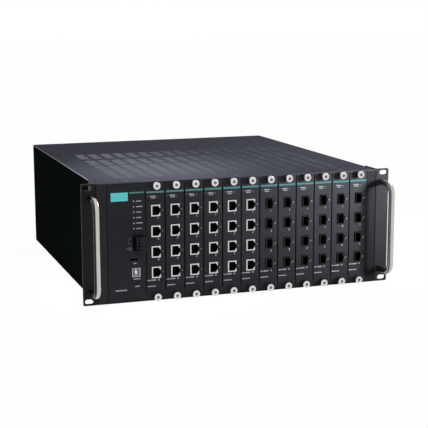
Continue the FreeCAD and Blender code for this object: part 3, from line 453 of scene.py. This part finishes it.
def nickel_screws(name):
    """Bright plated heads, with painted shade greying the cross recess."""
    recess_radius = 2.75 * MM
    rim_depth = 0.15 * MM
    finish = Finish(name)
    cell = (finish.axis("X") - modules_left).wrap(module_pitch) - module_pitch / 2
    height = abs(finish.axis("Z")) - screw_height
    radius = (cell * cell + height * height).power(0.5)
    recess = (radius < recess_radius) * (finish.axis("Y") > screw_low.y + rim_depth)
    # Painted shade: the cross recess is coloured a darker grey than the bright head.
    painted_dark = finish.mix(finish.noise(1.5 * MM), rgb(124, 124, 123), rgb(146, 145, 144))
    bright = finish.mix(finish.noise(1.5 * MM), rgb(206, 204, 202), rgb(226, 224, 222))
    return finish.surface(Base_Color=finish.mix(recess, bright, painted_dark), Metallic=1.0,
                          Roughness=0.26 + 0.25 * recess)


def green_laminate(finish):
    return finish.mix(finish.noise(3 * MM), rgb(14, 62, 40), rgb(22, 84, 52))


def port_row(finish):
    """Height above the middle of the nearest row of ports."""
    return (finish.axis("Z") - port_heights[0] + port_pitch / 2).wrap(port_pitch) - port_pitch / 2


def copper_metal(finish, cell, depth):
    """1 on the tinned jack shells, and 0 down their mouths, whose right corners are cut."""
    shell_right = 22.0 * MM
    shell_rear = 14.4 * MM
    mouth_left = 9.8 * MM
    mouth_half = 6.8 * MM
    mouth_rear = 12.0 * MM
    corner_start = 18.8 * MM
    corner_slope = 1.5
    corner = corner_slope * (cell - corner_start).maximum(0.0)
    mouth = (abs(port_row(finish)) + corner < mouth_half) * (cell > mouth_left)
    mouth = mouth * (depth < mouth_rear)
    return (cell < shell_right) * (depth < shell_rear) * (1 - mouth)


def fibre_metal(finish, cell, depth):
    """1 on the plated fibre cages, and 0 down their bores."""
    cage_right = 22.5 * MM
    cage_rear = 44.5 * MM
    bore_left = 10.8 * MM
    bore_right = 19.9 * MM
    bore_half = 7.0 * MM
    bore_front = -4.6 * MM
    bore_rear = 43.0 * MM
    bore = (abs(port_row(finish)) < bore_half) * cell.within(bore_left, bore_right)
    bore = bore * depth.within(bore_front, bore_rear)
    return (cell < cage_right) * (depth < cage_rear) * (1 - bore)


def board_finish(name, is_copper):
    """A module's board: green laminate, black parts, and metal socket shells at the front."""
    laminate_skin = 0.05 * MM
    latch_highlight_start = 20.65 * MM
    lens_left = 22.6 * MM
    finish = Finish(name)
    cell = (finish.axis("X") - modules_left).wrap(module_pitch)
    depth = finish.axis("Y")
    black = finish.mix(finish.noise(2 * MM), rgb(16, 16, 17), rgb(26, 26, 28))
    parts = cell > jack_x + laminate_skin
    tone = finish.mix(parts, green_laminate(finish), black)
    if is_copper:
        tin = finish.mix(finish.noise(4 * MM), rgb(200, 200, 199), rgb(224, 224, 223))
        metal = parts * copper_metal(finish, cell, depth)
    else:
        tin = finish.mix(finish.noise(4 * MM), rgb(58, 58, 52), rgb(74, 74, 68))
        # Painted highlight: a light grey strip down the right edge of each fibre cage, for the lit
        # edge of its latch tab.
        tin = finish.mix(cell > latch_highlight_start, tin, rgb(150, 150, 148))
        metal = parts * fibre_metal(finish, cell, depth)
    tone = finish.mix(metal, tone, tin)
    tone = finish.mix(cell > lens_left, tone, rgb(96, 100, 102))
    return finish.surface(Base_Color=tone, Metallic=metal, Specular_IOR_Level=0.1,
                          Roughness=0.42 - 0.14 * metal + 0.08 * finish.noise(2 * MM))


def plain_board(name, front_black=None):
    """Green laminate. Parts that stand forward of the depth front_black are black mouldings."""
    finish = Finish(name)
    tone = green_laminate(finish)
    if front_black is not None:
        tone = finish.mix(finish.axis("Y") < front_black, tone, rgb(12, 12, 13))
    return finish.surface(Base_Color=tone, Roughness=0.4 + 0.1 * finish.noise(2 * MM),
                          Specular_IOR_Level=0.15)


coat_body = case_coat("case_coat", rgb(13, 17, 15), rgb(52, 52, 54))
# The cover's last two colours are the vents' painted highlight and the edge colour where that
# highlight fades out.
coat_cover = cover_coat("cover_coat", rgb(54, 55, 62), rgb(188, 189, 200), rgb(46, 47, 53))
coat_ear = powder_coat("ear_coat", rgb(35, 35, 38), 0.45, 0.05)
coat_panel = powder_coat("panel_coat", rgb(40, 41, 45), 0.42, 0.05, grain=0.4 * MM)
# Each bar's second colour is its painted dark reflection, darker on the left handle and lighter on
# the right.
left_bar = polished_bar("left_steel", "left_handle", rgb(196, 193, 190), rgb(44, 44, 46), 0.0)
right_bar = polished_bar("right_steel", "right_handle", rgb(196, 193, 190), rgb(86, 86, 88), 0.8)
zinc = zinc_sheet("zinc_sheet", rgb(176, 178, 180))
# The card cage's second colour is the painted shade on its front edges.
cage_zinc = cage_sheet("cage_zinc", rgb(176, 178, 180), rgb(30, 30, 32))
# Painted shade: the storage port's shell is coloured dark grey for the shadow it sits in behind the
# panel cut.
storage_shell = usb_port("storage_shell", "usb_storage_port", rgb(66, 66, 66), rgb(22, 22, 23),
                         tongue_half=(5.5 * MM, 2.2 * MM), metallic=1.0)
console_shell = usb_port("console_shell", "usb_console_port", rgb(224, 225, 226),
                         rgb(234, 234, 232), tongue_half=(1.35 * MM, 3.05 * MM), metallic=0.3)
# The plug's second and third colours are painted shade on its sides and on its screws.
relay_black = terminal_block("relay_black", rgb(38, 40, 44), rgb(14, 14, 15), rgb(52, 52, 51))
black_plastic = moulding("black_moulding", rgb(22, 22, 23))
black_fin = powder_coat("black_anodised", rgb(26, 26, 28), 0.42, 0.3)
screw_black = moulding("screw_black", rgb(30, 30, 32), 0.32)
clear_pipe = moulding("light_pipe", rgb(150, 156, 150), 0.2)
nickel = nickel_screws("bright_nickel")
copper_board = board_finish("copper_board", True)
fibre_board = board_finish("fibre_board", False)
label_ink = print_ink("label_ink", rgb(99, 207, 213))
teal_ink = print_ink("teal_ink", rgb(84, 132, 134))
grey_ink = print_ink("grey_ink", rgb(160, 162, 168))
dim_ink = print_ink("dim_ink", rgb(76, 77, 82))
white_ink = print_ink("white_ink", rgb(214, 214, 216))
lens_off = moulding("lens_unlit", rgb(124, 128, 130), 0.25)
status_lens = moulding("status_lens", rgb(160, 158, 158), 0.25)
gold = zinc_sheet("gold_contacts", rgb(214, 170, 92))
green_board = plain_board("green_board")
HEADER_DEPTH = 17.2 * MM
system_green = plain_board("system_green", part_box("system_board")[0].y + HEADER_DEPTH)


def dress(names, material):
    """Puts one material on CAD nodes."""
    for name in names:
        for slot in nodes[name].material_slots:
            slot.link = "OBJECT"
            slot.material = material


dress(["chassis_tray"], coat_body)
dress(["top_cover"], coat_cover)
dress(["left_rack_ear", "right_rack_ear", "rear_panel"], coat_ear)
dress(["system_panel"], coat_panel)
dress(["left_handle"], left_bar)
dress(["right_handle"], right_bar)
dress(["left_power_case", "right_power_case"], zinc)
dress(["card_cage"], cage_zinc)
dress(["usb_storage_port"], storage_shell)
dress(["usb_console_port"], console_shell)
dress(["relay_plug"], relay_black)
dress(["reset_button"], black_plastic)
for node in ("left_power_inlet", "right_power_inlet"):
    dress([node], inlet_finish(node + "_moulding", node, rgb(22, 22, 23), rgb(200, 199, 196)))
dress(["heat_sink"], black_fin)
dress(["case_screws", "handle_screws"], screw_black)
dress(["status_light_pipes"], clear_pipe)
dress(["backplane", "switch_board"], green_board)
dress(["system_board"], system_green)
for index in range(MODULES):
    prefix = "module_%02d_" % (index + 1)
    dress([prefix + "faceplate"], coat_panel)
    dress([prefix + "board"], copper_board if index < COPPER else fibre_board)
    dress([prefix + "screws"], nickel)


# ================================================================ pieces
def piece(name, body, builder, finishes, smooth=False):
    """Makes a visible piece of what the builder holds, riding on a body."""
    mesh = bpy.data.meshes.new(name)
    bmesh.ops.recalc_face_normals(builder, faces=builder.faces)
    builder.to_mesh(mesh)
    builder.free()
    for finish in finishes:
        mesh.materials.append(finish)
    if smooth:
        mesh.polygons.foreach_set("use_smooth", [True] * len(mesh.polygons))
    shown = bpy.data.objects.new(name, mesh)
    bpy.context.scene.collection.objects.link(shown)
    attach(shown, body)


def add_block(builder, low, high, finish_index=0):
    """A closed block between two corners, in one of the piece's finishes."""
    middle = (Vector(low) + Vector(high)) / 2
    size = Vector(high) - Vector(low)
    matrix = Matrix.Translation(middle) @ Matrix.Diagonal((*size, 1.0))
    made = bmesh.ops.create_cube(builder, size=1.0, matrix=matrix)
    for face in {face for vertex in made["verts"] for face in vertex.link_faces}:
        face.material_index = finish_index


def add_print(builder, x, length, middle, thickness, ink):
    """A level bar of print on the front, from x to the right."""
    add_block(builder, (x, front_y - INK, middle - thickness / 2),
              (x + length, front_y + INK_SINK, middle + thickness / 2), ink)


def add_marks(builder, left, marks):
    for start, length, middle, thickness, ink in marks.values():
        add_print(builder, left + start * MM, length * MM, middle * MM, thickness * MM, ink)


def add_number(builder, number, x, z, height, ink):
    """A plain number, centred at x and z on the front."""
    digit_share = 0.7
    curve = bpy.data.curves.new("number", "FONT")
    curve.body = str(number)
    curve.size = height / digit_share
    curve.extrude = (INK + INK_SINK) / 2
    curve.align_x = "CENTER"
    curve.align_y = "CENTER"
    curve.resolution_u = 2
    shape = bpy.data.objects.new("number", curve)
    bpy.context.scene.collection.objects.link(shape)
    bpy.context.view_layer.update()
    mesh = bpy.data.meshes.new_from_object(shape)
    mesh.transform(Matrix.Translation((x, front_y - (INK - INK_SINK) / 2, z))
                   @ Matrix.Rotation(math.radians(90), 4, "X"))
    before = set(builder.faces)
    builder.from_mesh(mesh)
    for face in set(builder.faces) - before:
        face.material_index = ink
    bmesh.ops.remove_doubles(builder, verts=builder.verts, dist=0.001 * MM)
    bpy.data.objects.remove(shape)
    bpy.data.curves.remove(curve)
    bpy.data.meshes.remove(mesh)


def add_lens(builder, x, z, radius, height):
    """A round lens standing a little proud of the front."""
    made = bmesh.ops.create_uvsphere(builder, u_segments=20, v_segments=10, radius=1.0)
    squash = Matrix.Diagonal((radius, height, radius, 1.0))
    place = Matrix.Translation((x, front_y - LENS_LIFT, z))
    bmesh.ops.transform(builder, matrix=place @ squash, verts=made["verts"])


def module_print(index):
    """Teal stripe, grey marks in place of words, and plain port and module numbers."""
    stripe_inset = 0.7 * MM
    stripe_middle = 71.9 * MM
    stripe_height = 2.6 * MM
    port_number_x = 18.6 * MM
    port_number_drop = 11.4 * MM
    port_number_height = 3.2 * MM
    left = modules_left + index * module_pitch
    plate_low, plate_high = plates[index]
    stripe_length = plate_high.x - plate_low.x - 2 * stripe_inset
    builder = bmesh.new()
    add_print(builder, plate_low.x + stripe_inset, stripe_length, stripe_middle, stripe_height,
              TEAL)
    add_marks(builder, left, MODULE_MARKS)
    for x, middle, height in MODULE_NUMBERS.values():
        add_number(builder, index + 1, left + x * MM, middle * MM, height * MM, GREY)
    for row, height in enumerate(port_heights):
        add_number(builder, row + 1, left + port_number_x, height - port_number_drop,
                   port_number_height, BRIGHT)
    name = "module_%02d" % (index + 1)
    piece(name + "_print", name, builder,
          [teal_ink, grey_ink, dim_ink, white_ink])


def module_lights(index):
    left = modules_left + index * module_pitch
    builder = bmesh.new()
    for height in port_heights:
        add_lens(builder, left + light_x, height, radius=0.85 * MM, height=0.45 * MM)
    name = "module_%02d" % (index + 1)
    piece(name + "_lights", name, builder, [lens_off], smooth=True)


def jack_contacts(index):
    """Eight flat gold contacts along the inner wall of each copper socket."""
    contacts = 8
    pitch = 1.02 * MM
    half_width = 0.25 * MM
    root = 0.05 * MM
    proud = 0.15 * MM
    inner_wall = 2.4 * MM
    wall = modules_left + index * module_pitch + jack_x + inner_wall
    contact_front = front_y + 4.5 * MM
    contact_rear = front_y + 14.0 * MM
    builder = bmesh.new()
    for height in port_heights:
        for row in range(contacts):
            z = height + (row - (contacts - 1) / 2) * pitch
            add_block(builder, (wall - root, contact_front, z - half_width),
                      (wall + proud, contact_rear, z + half_width))
    name = "module_%02d" % (index + 1)
    piece(name + "_contacts", name, builder, [gold])


for index in range(MODULES):
    module_print(index)
    module_lights(index)
    if index < COPPER:
        jack_contacts(index)


# ---------------------------------------------------------------- system panel
def system_print():
    """The bare teal label, the relay's wiring sign and marks in place of captions."""
    caption_gap = 3.7 * MM
    caption_lift = 0.1 * MM
    caption_height = 1.4 * MM
    long_caption = 9.5 * MM
    short_caption = 7.6 * MM
    long_rows = (1, 4)
    builder = bmesh.new()
    add_marks(builder, panel_low.x, PANEL_MARKS)
    for row, height in enumerate(status_heights):
        length = long_caption if row in long_rows else short_caption
        add_print(builder, status_x + caption_gap, length, height + caption_lift,
                  caption_height, GREY)
    piece("system_print", "chassis", builder,
          [teal_ink, grey_ink, dim_ink, label_ink])


def status_lights():
    builder = bmesh.new()
    for height in status_heights:
        add_lens(builder, status_x, height, radius=1.0 * MM, height=0.5 * MM)
    piece("status_lights", "chassis", builder, [status_lens], smooth=True)


system_print()
status_lights()


# ================================================================ stage, light and camera
def stage_floor():
    """A pale floor, white to the eye and to gloss, that keeps the shadow."""
    half_width = 12.0
    gap = 0.2 * MM
    white_share = 0.96
    builder = bmesh.new()
    bmesh.ops.create_grid(builder, x_segments=1, y_segments=1, size=half_width)
    mesh = bpy.data.meshes.new("floor")
    builder.to_mesh(mesh)
    builder.free()
    finish = Finish("floor_paper")
    seen = finish.add("ShaderNodeLightPath", output="Is Camera Ray")
    gloss = finish.add("ShaderNodeLightPath", output="Is Glossy Ray")
    clear = finish.add("ShaderNodeLightPath", output="Is Transmission Ray")
    paper = finish.add("ShaderNodeBsdfDiffuse", {}, {"Color": (0.86, 0.86, 0.86, 1.0)})
    white = finish.add("ShaderNodeEmission", {}, {"Color": (1.0, 1.0, 1.0, 1.0), "Strength": 1.0})
    share = seen.maximum(gloss).maximum(clear) * white_share
    mixed = finish.add("ShaderNodeMixShader", {}, {0: share, 1: paper, 2: white})
    finish.add("ShaderNodeOutputMaterial", {}, {"Surface": mixed})
    mesh.materials.append(finish.material)
    floor = bpy.data.objects.new("floor", mesh)
    floor.location = (0.0, 0.25, floor_level - gap)
    bpy.context.scene.collection.objects.link(floor)


def soft_room(ambient):
    """A white room to the eye and to gloss, with a plain even light from all round."""
    world = bpy.data.worlds.new("room")
    world.use_nodes = True
    bpy.context.scene.world = world
    room = Finish("room", world.node_tree)
    seen = room.add("ShaderNodeLightPath", output="Is Camera Ray")
    gloss = room.add("ShaderNodeLightPath", output="Is Glossy Ray")
    clear = room.add("ShaderNodeLightPath", output="Is Transmission Ray")
    white = seen.maximum(gloss).maximum(clear)
    strength = ambient + (1.0 - ambient) * white
    light = room.add("ShaderNodeBackground", {}, {"Color": (1.0, 1.0, 1.0, 1.0),
                                                  "Strength": strength})
    room.add("ShaderNodeOutputWorld", {}, {"Surface": light})


def lamp_at(lamp, place, aim):
    shown = bpy.data.objects.new(lamp.name, lamp)
    shown.location = place
    shown.rotation_euler = (Vector(aim) - Vector(place)).to_track_quat("-Z", "Y").to_euler()
    bpy.context.scene.collection.objects.link(shown)
    return shown


def softbox(name, place, aim, size, watts):
    lamp = bpy.data.lights.new(name, "AREA")
    lamp.shape = "SQUARE"
    lamp.size = size
    lamp.energy = watts
    lamp_at(lamp, place, aim)


def spotlight(name, place, aim, degrees, watts):
    """A round soft-edged pool of light that leaves no glint on the bright metal."""
    lamp = bpy.data.lights.new(name, "SPOT")
    lamp.spot_size = math.radians(degrees)
    lamp.spot_blend = 1.0
    lamp.shadow_soft_size = 0.12
    lamp.energy = watts
    lamp_at(lamp, place, aim).visible_glossy = False


def view_camera():
    """A long lens, to the left of the front and a little above the cover."""
    place = Vector((-0.5793, -1.5765, 0.3367))
    yaw = 0.3284
    pitch = 0.180
    roll = -0.003
    forward = Vector((math.sin(yaw) * math.cos(pitch), math.cos(yaw) * math.cos(pitch),
                      -math.sin(pitch)))
    level = Vector((math.cos(yaw), -math.sin(yaw), 0.0))
    upright = level.cross(forward)
    right = level * math.cos(roll) + upright * math.sin(roll)
    up = upright * math.cos(roll) - level * math.sin(roll)
    turn = Matrix((right, up, -forward)).transposed().to_4x4()
    lens = bpy.data.cameras.new("camera")
    lens.sensor_width = 36.0
    lens.lens = 96.609
    lens.clip_end = 50.0
    camera = bpy.data.objects.new("camera", lens)
    camera.matrix_world = Matrix.Translation(place) @ turn
    bpy.context.scene.collection.objects.link(camera)
    bpy.context.scene.camera = camera


stage_floor()
soft_room(ambient=0.80)
spotlight("front_light", place=(0.80, -0.80, 0.22), aim=(0.30, 0.0, 0.18), degrees=33.0,
          watts=305.0)
spotlight("top_light", place=(-0.11, 0.06, 0.90), aim=(-0.105, 0.085, 0.0875), degrees=26.0,
          watts=82.0)
softbox("right_light", place=(0.55, 0.25, 0.45), aim=(0.20, 0.25, 0.0875), size=0.25, watts=1.8)
view_camera()
bpy.context.scene.view_settings.view_transform = "Standard"
